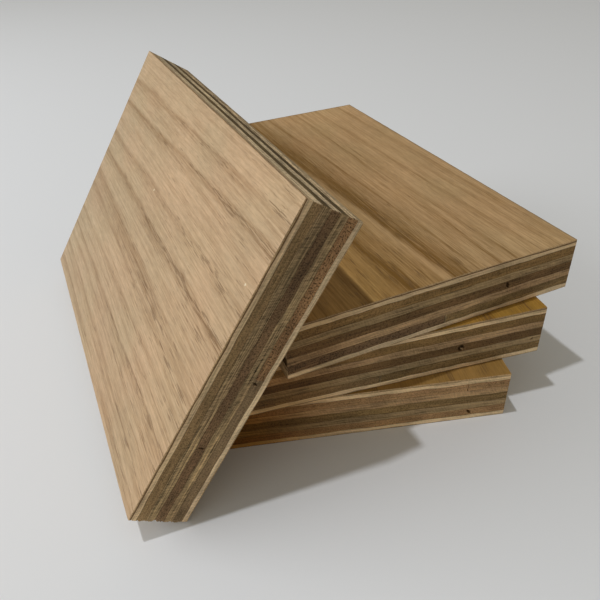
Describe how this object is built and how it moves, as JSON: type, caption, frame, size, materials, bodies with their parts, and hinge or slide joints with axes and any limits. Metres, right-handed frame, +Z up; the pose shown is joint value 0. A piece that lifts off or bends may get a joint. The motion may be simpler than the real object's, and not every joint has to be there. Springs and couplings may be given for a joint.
{
  "type": "stack of plywood sheets",
  "caption": "Fanned stack of small oak-faced plywood sheets with another sheet leaning on its side; the sawn edges show the crossed plies of the lay-up.",
  "frame": {"origin": "centre of the bottom sheet's underside, on the floor", "axes": "+X across the bottom sheet to the right, away from the leaning sheet; +Y along the bottom sheet, away from the viewer; +Z up"},
  "size_m": [0.1881, 0.1958, 0.0938],
  "materials": {
    "oak_veneer": "matt, unfinished oak",
    "crossband": "sawn edge, unfinished",
    "core_along": "sawn edge, unfinished",
    "core_across": "sawn edge, unfinished"
  },
  "bodies": {
    "root": {"bottom_sheet_back_veneer": "oak_veneer", "bottom_sheet_lower_crossband": "crossband", "bottom_sheet_core_ply_5": "core_along", "bottom_sheet_core_ply_4": "core_across", "bottom_sheet_core_ply_3": "core_along", "bottom_sheet_core_ply_2": "core_across", "bottom_sheet_core_ply_1": "core_along", "bottom_sheet_upper_crossband": "crossband", "bottom_sheet_face_veneer": "oak_veneer", "middle_sheet_back_veneer": "oak_veneer", "middle_sheet_lower_crossband": "crossband", "middle_sheet_core_ply_5": "core_along", "middle_sheet_core_ply_4": "core_across", "middle_sheet_core_ply_3": "core_along", "middle_sheet_core_ply_2": "core_across", "middle_sheet_core_ply_1": "core_along", "middle_sheet_upper_crossband": "crossband", "middle_sheet_face_veneer": "oak_veneer", "top_sheet_back_veneer": "oak_veneer", "top_sheet_lower_crossband": "crossband", "top_sheet_core_ply_5": "core_along", "top_sheet_core_ply_4": "core_across", "top_sheet_core_ply_3": "core_along", "top_sheet_core_ply_2": "core_across", "top_sheet_core_ply_1": "core_along", "top_sheet_upper_crossband": "crossband", "top_sheet_face_veneer": "oak_veneer", "leaning_sheet_back_veneer": "oak_veneer", "leaning_sheet_lower_crossband": "crossband", "leaning_sheet_core_ply_5": "core_along", "leaning_sheet_core_ply_4": "core_across", "leaning_sheet_core_ply_3": "core_along", "leaning_sheet_core_ply_2": "core_across", "leaning_sheet_core_ply_1": "core_along", "leaning_sheet_upper_crossband": "crossband", "leaning_sheet_face_veneer": "oak_veneer"}
  },
  "joints": []
}
